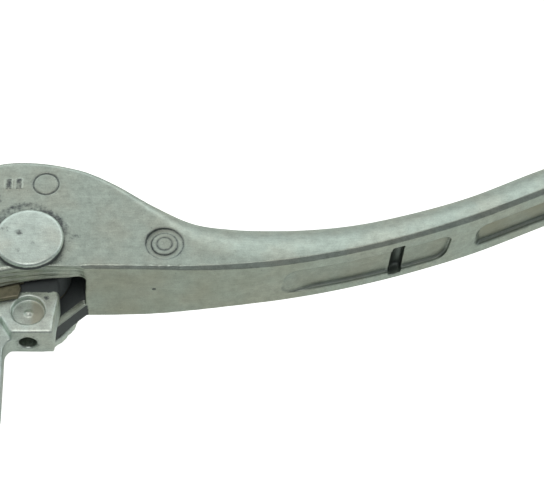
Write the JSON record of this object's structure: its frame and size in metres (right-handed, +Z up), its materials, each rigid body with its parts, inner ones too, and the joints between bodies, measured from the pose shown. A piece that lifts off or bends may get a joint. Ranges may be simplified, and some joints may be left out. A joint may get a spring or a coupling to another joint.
{
  "type": "clutch lever",
  "caption": "Cable clutch lever: a forked cast lever with a ball end on a handlebar clamp perch, with a headed pivot pin and a slotted cable adjuster.",
  "frame": {"origin": "on the handlebar's axis, at the middle of the clamp's width", "axes": "+X along the handlebar towards the lever's tip, +Y forward, away from the rider, +Z up along the pivot, on the side of the pin's plain head"},
  "size_m": [0.2182, 0.1092, 0.052],
  "materials": {
    "lever_casting": "worn, tumbled cast aluminium",
    "perch_casting": "satin cast aluminium",
    "pin_metal": "worn satin",
    "zinc_steel": "zinc plated",
    "plain_steel": "satin",
    "bronze": "tarnished",
    "rubber": "matt",
    "acetal": "satin moulded"
  },
  "bodies": {
    "perch": {"perch_body": "perch_casting", "clamp_cap": "perch_casting", "pivot_pin": "pin_metal", "pivot_bush": "bronze", "thrust_shim_upper": "bronze", "thrust_shim_lower": "bronze", "dust_seal_upper": "rubber", "dust_seal_lower": "rubber", "pivot_washer": "zinc_steel", "pivot_nut": "zinc_steel", "clamp_washer_upper": "zinc_steel", "clamp_spring_washer_upper": "plain_steel", "clamp_bolt_upper": "zinc_steel", "clamp_washer_lower": "zinc_steel", "clamp_spring_washer_lower": "plain_steel", "clamp_bolt_lower": "zinc_steel"},
    "lever": {"lever": "lever_casting"},
    "cable_seat": {"cable_seat": "acetal"},
    "cable_adjuster": {"cable_adjuster": "zinc_steel"},
    "adjuster_lock_ring": {"adjuster_lock_ring": "plain_steel"}
  },
  "joints": [
    {"name": "lever_pivot", "type": "hinge", "parent": "perch", "child": "lever", "pos_m": [0.03, 0.052, 0], "axis": [0, 0, 1], "range_deg": [-24, 0]},
    {"name": "cable_seat_swivel", "type": "hinge", "parent": "lever", "child": "cable_seat", "pos_m": [0.024, 0.0664, 0], "axis": [0, 0, 1], "range_deg": [0, 24]},
    {"name": "adjuster_travel", "type": "slide", "parent": "perch", "child": "cable_adjuster", "axis": [-1, 0, 0], "range_m": [0, 0.008]},
    {"name": "lock_ring_turn", "type": "hinge", "parent": "perch", "child": "adjuster_lock_ring", "pos_m": [0, 0.0664, 0], "axis": [1, 0, 0], "range_deg": [-180, 180]}
  ],
  "couplings": [
    {"joint": "cable_seat_swivel", "follows": "lever_pivot", "ratio": -1}
  ]
}
